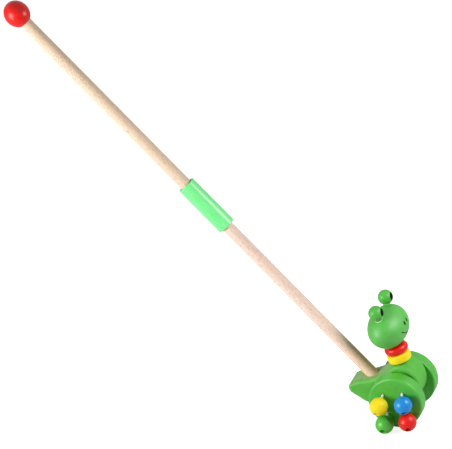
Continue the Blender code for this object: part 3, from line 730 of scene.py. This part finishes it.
def brushed(name, skin, line, half_width):
    """Brush a mark on a skin: a closed lens of paint along a line.

    line holds the centre's places across and up, half_width its half width at each. Round the
    lens the place across the line is w cos a and the height over the skin is p sin a, with p the
    paint's thickness above and half that below, fading with the width at both ends.
    """
    ahead = np.gradient(line, axis=0)
    ahead /= np.linalg.norm(ahead, axis=1, keepdims=True)
    beside = np.stack([-ahead[:, 1], ahead[:, 0]], axis=1)
    turn = np.linspace(0, math.tau, 24, endpoint=False)
    flat = (line[:, None, :] + beside[:, None, :]
            * (half_width[:, None] * np.cos(turn)[None, :])[..., None])
    point, normal = skin(flat[..., 0], flat[..., 1])
    height = PAINT_PROUD * np.where(np.sin(turn) > 0, 1, 0.5) * np.sin(turn)
    fade = np.sqrt(half_width / half_width.max())[:, None]
    mark = gridded(name, point + normal * (height[None, :] * fade)[..., None])
    return settled(mark, face_black, "frog", "green_paint")


face_black = brushed_black("black_face_paint")
stroke = np.linspace(-1, 1, 49)
round_width = np.sqrt(np.clip(1 - stroke ** 2, 0, 1))
for side, label in SIDES:
    pupil_line = np.stack([0 * stroke, PUPIL_RADIUS * stroke], axis=1)
    brushed(label + "_pupil", on_eye(label), pupil_line, PUPIL_RADIUS * round_width)
for side, label in SIDES:
    nostril_line = np.stack([0 * stroke + side * NOSTRIL_APART / 2,
                             NOSTRIL_UP + NOSTRIL_HALF_HEIGHT * stroke], axis=1)
    brushed(label + "_nostril", on_head, nostril_line, NOSTRIL_HALF_WIDTH * round_width)
smile = np.linspace(-1, 1, 97)
smile_up = MOUTH_CORNER_RISE * np.abs(smile) ** MOUTH_CURVE_POWER - MOUTH_LOW
smile_width = MOUTH_HALF_THICKNESS * np.clip(1 - smile ** MOUTH_TAPER_POWER, 0, 1) ** 0.5
brushed("smile", on_head, np.stack([MOUTH_HALF_WIDTH * smile, smile_up], axis=1), smile_width)

# Wheels: turned discs glued on the ends of the axle, rounded over more on the outer face, with
# four stepped holes each, narrow outside for the cord and wide inside for its knot.
WHEEL_OUTER_ROUNDING = 0.0024
WHEEL_INNER_ROUNDING = 0.0014
WHEEL_FACE_RINGS = 7
WHEEL_FLAT_MARGIN = 0.0002
AXLE_SOCKET_DEPTH = 0.009
CORD_DIAMETER = 0.0024
KNOT_DIAMETER = 0.0044
KNOT_BORE_DEPTH = 0.0062
DRILL_OVERRUN = 0.004
GREEN = (0.066, 0.450, 0.030)
COLOURS = ("blue", "yellow", "red", "green")

cord_radius, knot_radius = CORD_DIAMETER / 2, KNOT_DIAMETER / 2
cord_bore = cord_radius + FIT_GAP
knot_bore = knot_radius + 2 * FIT_GAP
wheel_low, wheel_high = corners("left_wheel")
wheel_radius = (wheel_high[2] - wheel_low[2]) / 2
wheel_inner, wheel_outer = wheel_low[1], wheel_high[1]
socket_end = wheel_inner + AXLE_SOCKET_DEPTH
face_edge, back_edge = WHEEL_OUTER_ROUNDING, WHEEL_INNER_ROUNDING
face_rings = np.linspace(0, wheel_radius - face_edge, WHEEL_FACE_RINGS, endpoint=False)
wheel_profile = np.concatenate([
    np.stack([face_rings, np.full_like(face_rings, wheel_outer)], axis=1),
    fillet(wheel_radius - face_edge, wheel_outer - face_edge, face_edge, 90, 0, 12),
    fillet(wheel_radius - back_edge, wheel_inner + back_edge, back_edge, 0, -90, 8),
    [(wheel_radius - back_edge - WHEEL_FLAT_MARGIN, wheel_inner),
     (axle_bore + WHEEL_FLAT_MARGIN, wheel_inner), (axle_bore, wheel_inner),
     (axle_bore, socket_end), (0, socket_end)],
])
ease, far, near = BORE_EASING, DRILL_OVERRUN, wheel_inner - wheel_outer - DRILL_OVERRUN
step = wheel_inner + KNOT_BORE_DEPTH - wheel_outer
drill_profile = [(0, far), (cord_bore + ease + far, far), (cord_bore + ease, 0),
                 (cord_bore, -ease), (cord_bore, step), (knot_bore, step), (knot_bore, near),
                 (0, near)]
wheel_green = painted("wheel_green_paint", GREEN, 0.42, 0.60)
for side, label in SIDES:
    outboard = across * side
    wheel = turned(label + "_wheel_disc", wheel_profile, axle_centre, outboard, 192)
    drills = []
    for colour in COLOURS:
        hole = np.array(joints[label + "_" + colour + "_swing"]["pos_m"])
        drills.append(turned(label + colour + "_drill", drill_profile, hole, outboard, 48))
    settled(bored(wheel, drills), wheel_green, "wheelset", "green_paint", label + "_wheel")

# Cords: short braided white cords, knotted inside the wheel and again inside the bead. Each
# comes straight out of the wheel's face and bends down to its bead.
CORD_BEND_RADIUS = 0.0022
CORD_TAIL = 0.0003
CORD_ROWS = 260
CORD_COLUMNS = 48
KNOT_LENGTH = 0.0038
KNOT_SWELL_POWER = 0.7
KNOT_TURNS = 3
KNOT_RELIEF = 1.6
BEAD_DIAMETER = 0.018
BEAD_KNOT_BORE_DEPTH = 0.007
STRAND_RELIEF_SHARE = 0.07
STRAND_LENGTH = 0.0024
CORD_WHITE = (0.900, 0.890, 0.740)
WEAVE_ROUND_AND_ALONG = (8, 110, 1)
FIBRES_A_METRE = 6000.0
FIBRE_RISE = 0.00005


def braided(name, colour):
    """Braided cotton: crossing strands laid by the UV map, with painted shade between them."""
    made, tree, shader = finish_named(name, Roughness=0.85, Sheen_Weight=0.3)
    wrap = node(tree, "TexCoord").outputs["UV"]
    strands = node(tree, "Mapping", {"Vector": wrap, "Scale": WEAVE_ROUND_AND_ALONG})
    weave = node(tree, "TexVoronoi", {"Vector": strands.outputs[0], "Scale": 1.0,
                                      "Randomness": 0.35})
    # painted shade: the colour darkens to 0.8 of itself between the strands
    tone = shaded(tree, ranged(tree, weave.outputs["Distance"], 0.25, 0.75, 0.0, 1.0), colour,
                  tuple(0.80 * part for part in colour))
    tree.links.new(tone, shader.inputs["Base Color"])
    fibre = speckle(tree, node(tree, "TexCoord").outputs["Object"], FIBRES_A_METRE, 1.0)
    pressed_in(tree, shader, fibre, 0.5, FIBRE_RISE)
    return made


def knotted_cord(name, hole, pivot, centre, out):
    """Sweep a braided tube along a straight run, a bend and a second straight run.

    Along the path the radius is the cord's, swelling to the knot's in a smooth hump at both
    knots and closing in a half circle at both ends. Crossing strands lift it by a share of
    max(cos(4a - ks), cos(4a + ks)), and a knot turns that into three fat turns.
    """
    way = unit(centre - pivot)
    bend = math.acos(float(np.clip(way @ out, -1, 1)))
    aside = unit(way - out * (way @ out))
    normal = np.cross(out, aside)
    inner_knot = hole + out * (wheel_inner + KNOT_BORE_DEPTH - FIT_GAP - KNOT_LENGTH / 2
                               - wheel_outer)
    outer_knot = centre + way * (KNOT_LENGTH / 2 + FIT_GAP - bead_shoulder)
    start = inner_knot - out * (KNOT_LENGTH / 2 + CORD_TAIL / 2)
    turn_start = pivot - out * CORD_BEND_RADIUS * math.tan(bend / 2)
    turn_end = pivot + way * CORD_BEND_RADIUS * math.tan(bend / 2)
    first_run = (turn_start - start) @ out
    arc_run = CORD_BEND_RADIUS * bend
    last_run = (outer_knot - turn_end) @ way + KNOT_LENGTH / 2 + CORD_TAIL
    length = first_run + arc_run + last_run
    s = np.linspace(0, length, CORD_ROWS)
    turned_by = np.clip((s - first_run) / CORD_BEND_RADIUS, 0, bend)
    path = (start + np.minimum(s, first_run)[:, None] * out
            + CORD_BEND_RADIUS * (np.sin(turned_by)[:, None] * out
                                  + (1 - np.cos(turned_by))[:, None] * aside)
            + np.maximum(s - first_run - arc_run, 0)[:, None] * way)
    ahead = np.cos(turned_by)[:, None] * out + np.sin(turned_by)[:, None] * aside
    beside = np.cross(normal, ahead)
    around = np.linspace(0, math.tau, CORD_COLUMNS, endpoint=False)
    knot_places = ((inner_knot - start) @ out, length - KNOT_LENGTH / 2 - CORD_TAIL)
    swell = sum(np.clip(1 - (2 * (s - place) / KNOT_LENGTH) ** 2, 0, 1) ** KNOT_SWELL_POWER
                for place in knot_places)[:, None]
    climb = (math.tau * s / STRAND_LENGTH)[:, None]
    crossing = np.maximum(np.cos(4 * around - climb), np.cos(4 * around + climb))
    fat_turns = np.cos(around - KNOT_TURNS * math.tau * s[:, None] / KNOT_LENGTH)
    relief = (STRAND_RELIEF_SHARE * (crossing - 1) / 2 * (1 - swell)
              + KNOT_RELIEF * STRAND_RELIEF_SHARE * (fat_turns - 1) / 2 * swell)
    end = np.minimum(s, length - s)[:, None]
    closing = np.sqrt(np.clip(1 - (1 - np.minimum(end / cord_radius, 1)) ** 2, 0, 1))
    radius = (cord_radius + (knot_radius - cord_radius) * swell) * (1 + relief) * closing
    spoke = (np.cos(around)[None, :, None] * beside[:, None, :]
             + np.sin(around)[None, :, None] * normal)
    return gridded(name, path[:, None, :] + radius[..., None] * spoke), way


bead_radius = BEAD_DIAMETER / 2
bead_mouth = -math.sqrt(bead_radius ** 2 - knot_bore ** 2)
bead_shoulder = bead_mouth + BEAD_KNOT_BORE_DEPTH
white_cord = braided("white_braided_cord", CORD_WHITE)
for side, label in SIDES:
    outboard = across * side
    for colour in COLOURS:
        key = label + "_" + colour
        hole = np.array(joints[key + "_swing"]["pos_m"])
        pivot = np.array(joints[key + "_lift"]["pos_m"])
        cord, way = knotted_cord(key + "_braid", hole, pivot, middle(key + "_bead"), outboard)
        cord.data.materials.append(white_cord)
        cord.data.shade_smooth()
        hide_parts(key + "_cord")
        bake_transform(cord)

# Beads: turned balls in four gloss colours, bored through for the cord and wider underneath for
# its knot, loose on the cord so that they clack on the wheel's face.
BLUE = (0.004, 0.250, 0.680)
BLUE_GLINT = (0.42, 0.68, 1.0)
GREEN_GLINT = (0.60, 1.0, 0.55)
BEAD_MOUTH_EASING = 0.00035

gloss_blue = painted("gloss_blue_paint", BLUE, 0.34, 0.90, glint=BLUE_GLINT)
gloss_green = painted("gloss_green_paint", GREEN, 0.38, 0.90, glint=GREEN_GLINT)
bead_finish = {"blue": gloss_blue, "yellow": gloss_yellow, "red": gloss_red,
               "green": gloss_green}
ease = BEAD_MOUTH_EASING
top_turn = math.degrees(math.acos((cord_bore + ease) / bead_radius))
low_turn = -math.degrees(math.acos((knot_bore + ease) / bead_radius))
top_rise = math.sqrt(bead_radius ** 2 - cord_bore ** 2)
bead_profile = np.concatenate([
    [(cord_bore, top_rise - 2 * ease), (cord_bore + 0.3 * ease, top_rise - 0.6 * ease)],
    fillet(0, 0, bead_radius, top_turn, low_turn, 72),
    [(knot_bore + 0.3 * ease, bead_mouth + 0.6 * ease), (knot_bore, bead_mouth + 2 * ease),
     (knot_bore, bead_shoulder), (cord_bore, bead_shoulder)],
])
for side, label in SIDES:
    for colour in COLOURS:
        key = label + "_" + colour
        centre = middle(key + "_bead")
        way_up = np.array(joints[key + "_lift"]["pos_m"]) - centre
        bead = turned(key + "_ball", bead_profile, centre, way_up, 96, closed=True)
        settled(bead, bead_finish[colour], key + "_bead", colour + "_paint", key + "_bead")

# Studio: a pale floor that keeps the toy's shadow, a white surround, and two soft lamps, one low
# from behind on the frog's right and one high in front. The floor shows whiter far from the toy.
FLOOR_HALF = 14.0
FLOOR_GREY = 0.78
FLOOR_PALENESS = (0.79, 0.93)
FLOOR_FADE = (0.5, 1.6)
FLOOR_MIRRORED = 0.15
SURROUND_FILL = 0.12
LAMP_AIM = (0.194, -0.040, 0.022)

# The way from the aim, the distance, the disc's width and the power in watts
LAMPS = [
    ((-0.698, -0.684, 0.204), 1.35, 0.74, 17.0),
    ((0.607, 0.121, 0.787), 0.69, 0.39, 3.9),
]

floor_mesh = bpy.data.meshes.new("floor")
floor_mesh.from_pydata([(-FLOOR_HALF, -FLOOR_HALF, 0), (FLOOR_HALF, -FLOOR_HALF, 0),
                        (FLOOR_HALF, FLOOR_HALF, 0), (-FLOOR_HALF, FLOOR_HALF, 0)],
                       [], [(0, 1, 2, 3)])
floor = bpy.data.objects.new("floor", floor_mesh)
bpy.context.scene.collection.objects.link(floor)
floor_finish = bpy.data.materials.new("pale_floor")
floor_finish.use_nodes = True
tree = floor_finish.node_tree
tree.nodes.clear()
rays = node(tree, "LightPath")
seen = node(tree, "Math", {0: rays.outputs["Is Camera Ray"],
                           1: rays.outputs["Is Transmission Ray"]}, operation="MAXIMUM")
mirrored = node(tree, "Math", {0: rays.outputs["Is Glossy Ray"], 1: FLOOR_MIRRORED},
                operation="MULTIPLY")
matt = node(tree, "BsdfDiffuse", {"Color": (FLOOR_GREY, FLOOR_GREY, FLOOR_GREY, 1)})
lift = node(tree, "Emission", {"Color": (1, 1, 1, 1)})
away = node(tree, "VectorMath", {0: node(tree, "TexCoord").outputs["Object"]}, operation="LENGTH")
paleness = ranged(tree, away.outputs["Value"], *FLOOR_FADE, *FLOOR_PALENESS)
strength = node(tree, "Math", {0: seen.outputs[0], 1: paleness, 2: mirrored.outputs[0]},
                operation="MULTIPLY_ADD")
tree.links.new(strength.outputs[0], lift.inputs["Strength"])
both = node(tree, "AddShader", {0: matt.outputs[0], 1: lift.outputs[0]})
node(tree, "OutputMaterial", {"Surface": both.outputs[0]})
floor_mesh.materials.append(floor_finish)

world = bpy.data.worlds.new("studio")
bpy.context.scene.world = world
world.use_nodes = True
tree = world.node_tree
rays = node(tree, "LightPath")
seen = node(tree, "Math", {0: rays.outputs["Is Camera Ray"],
                           1: rays.outputs["Is Glossy Ray"]}, operation="MAXIMUM")
seen = node(tree, "Math", {0: seen.outputs[0], 1: rays.outputs["Is Transmission Ray"]},
            operation="MAXIMUM")
level = ranged(tree, seen.outputs[0], 0.0, 1.0, SURROUND_FILL, 1.0)
tree.nodes["Background"].inputs["Color"].default_value = (1, 1, 1, 1)
tree.links.new(level, tree.nodes["Background"].inputs["Strength"])

aim = Vector(LAMP_AIM)
for number, (way, distance, width, power) in enumerate(LAMPS):
    light = bpy.data.lights.new("soft_lamp_%d" % number, "AREA")
    light.shape, light.size, light.energy = "DISK", width, power
    lamp = bpy.data.objects.new(light.name, light)
    bpy.context.scene.collection.objects.link(lamp)
    lamp.location = aim + Vector(way).normalized() * distance
    lamp.rotation_euler = (aim - lamp.location).to_track_quat("-Z", "Y").to_euler()

# Camera: a long lens from far off on the frog's right, turned a little towards its front and a
# third of the way up, as the photograph was taken.
CAMERA_AZIMUTH = math.radians(17.300)
CAMERA_ELEVATION = math.radians(30.889)
CAMERA_DISTANCE = 18.0
CAMERA_AIM = (0.008495, 0, 0.181105)
CAMERA_LENS = 1477.65
CAMERA_SENSOR = 36
CAMERA_CLIP = (1, 60)

camera_data = bpy.data.cameras.new("photo_view")
camera = bpy.data.objects.new("photo_view", camera_data)
bpy.context.scene.collection.objects.link(camera)
bpy.context.scene.camera = camera
back = Vector((math.sin(CAMERA_AZIMUTH) * math.cos(CAMERA_ELEVATION),
               -math.cos(CAMERA_AZIMUTH) * math.cos(CAMERA_ELEVATION),
               math.sin(CAMERA_ELEVATION)))
camera.location = Vector(CAMERA_AIM) + back * CAMERA_DISTANCE
camera.rotation_euler = (-back).to_track_quat("-Z", "Y").to_euler()
camera_data.lens = CAMERA_LENS
camera_data.sensor_width = CAMERA_SENSOR
camera_data.clip_start, camera_data.clip_end = CAMERA_CLIP
bpy.context.scene.view_settings.view_transform = "Standard"
